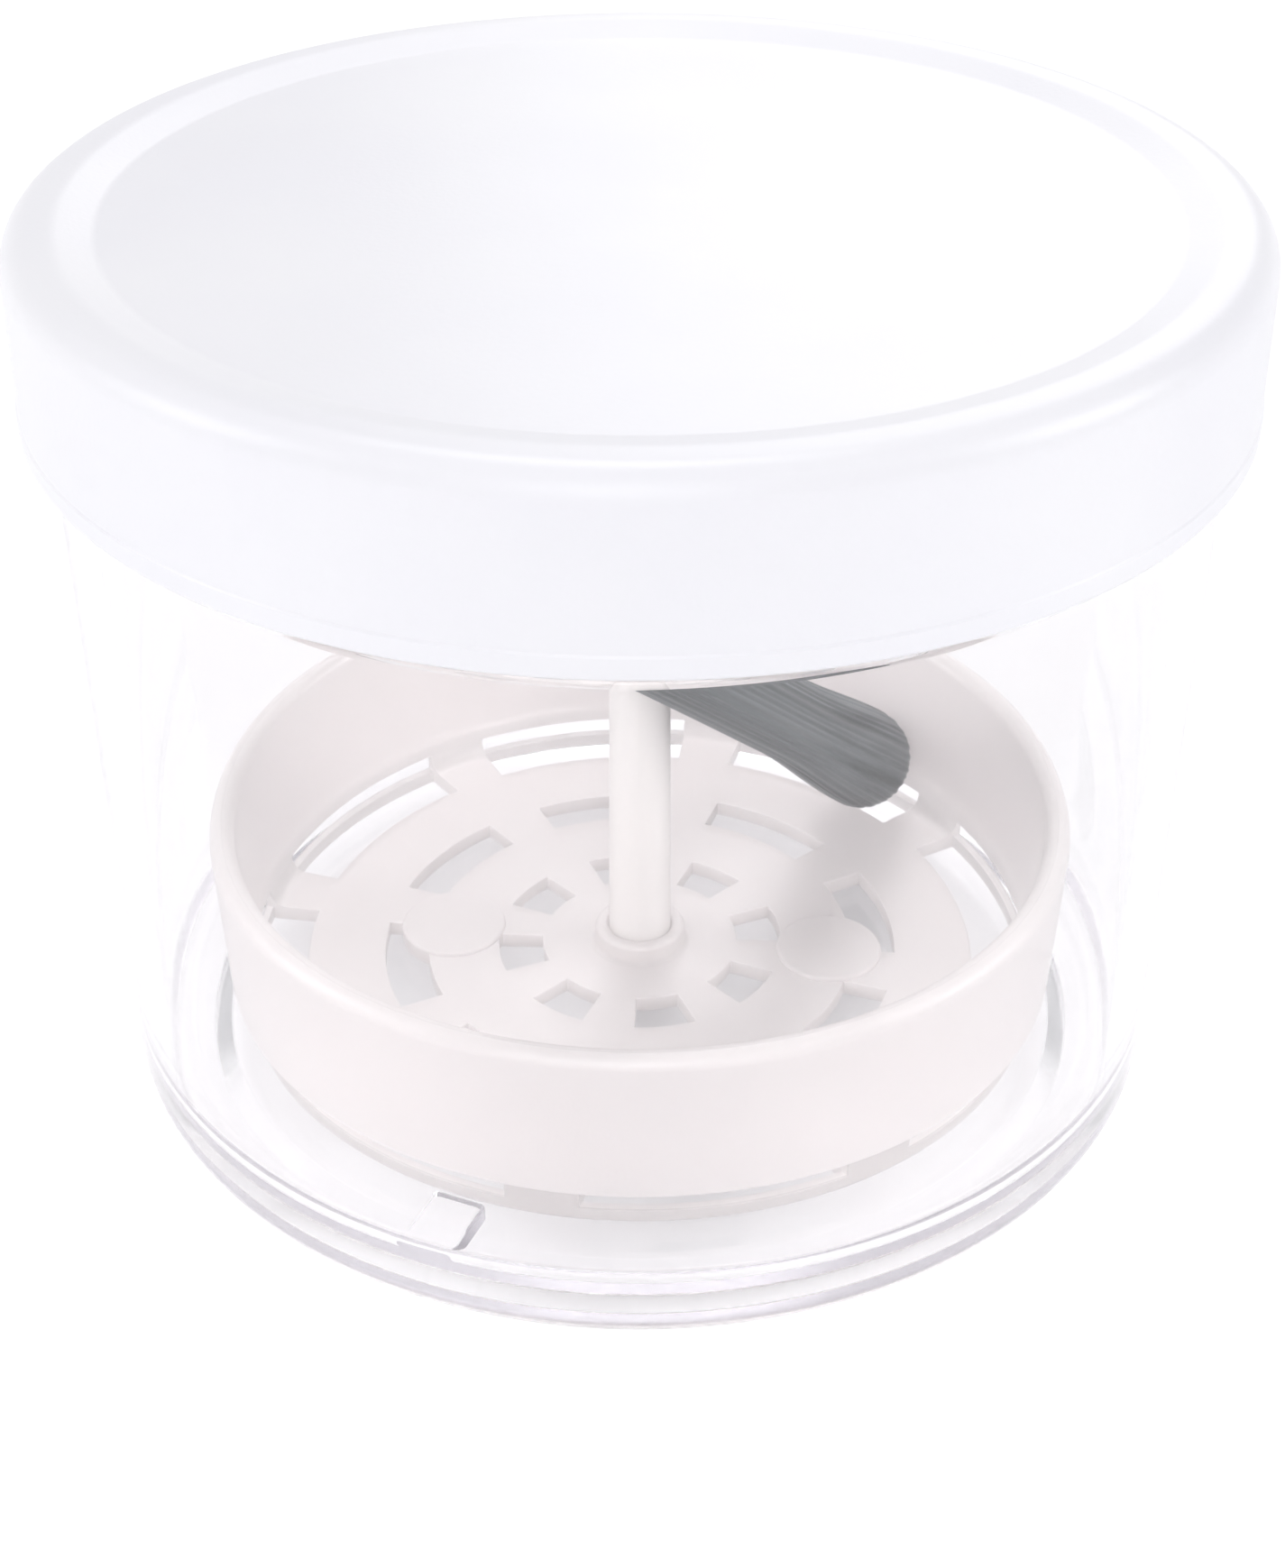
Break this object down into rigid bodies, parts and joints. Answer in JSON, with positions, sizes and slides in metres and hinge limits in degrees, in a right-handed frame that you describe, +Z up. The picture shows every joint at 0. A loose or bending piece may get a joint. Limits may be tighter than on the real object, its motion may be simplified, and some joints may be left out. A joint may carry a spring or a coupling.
{
  "type": "pill crusher",
  "caption": "Round clear straight-sided jar with a white screw lid, holding a frosted slotted basket on a centre post and a loose grey round-ended pestle.",
  "frame": {"origin": "centre of the circle that the jar stands on", "axes": "+Z up along the jar's axis; -Y is the front, the side with the floor rib on its left"},
  "size_m": [0.0838, 0.0838, 0.0662],
  "materials": {
    "clear_styrene": "clear, gloss",
    "white_polypropylene": "gloss",
    "foam_liner": "matte foam",
    "frosted_polypropylene": "frosted, translucent",
    "natural_polypropylene": "satin, translucent",
    "grey_plastic": "satin, fine lines along its length"
  },
  "bodies": {
    "jar_body": {"jar": "clear_styrene"},
    "basket_body": {"basket": "frosted_polypropylene", "post": "natural_polypropylene"},
    "pestle_body": {"pestle": "grey_plastic"},
    "liner_body": {"lid_liner": "foam_liner"},
    "lid_body": {"lid": "white_polypropylene"}
  },
  "joints": [
    {"name": "basket_lift", "type": "slide", "parent": "jar_body", "child": "basket_body", "axis": [0, 0, 1], "range_m": [0, 0.065]},
    {"name": "pestle_lift", "type": "slide", "parent": "basket_body", "child": "pestle_body", "axis": [0, 0, 1], "range_m": [0, 0.062]},
    {"name": "lid_lift", "type": "slide", "parent": "pestle_body", "child": "liner_body", "axis": [0, 0, 1], "range_m": [0, 0.03]},
    {"name": "lid_turn", "type": "hinge", "parent": "liner_body", "child": "lid_body", "pos_m": [0, 0, 0.06], "axis": [0, 0, 1], "range_deg": [0, 450]}
  ]
}
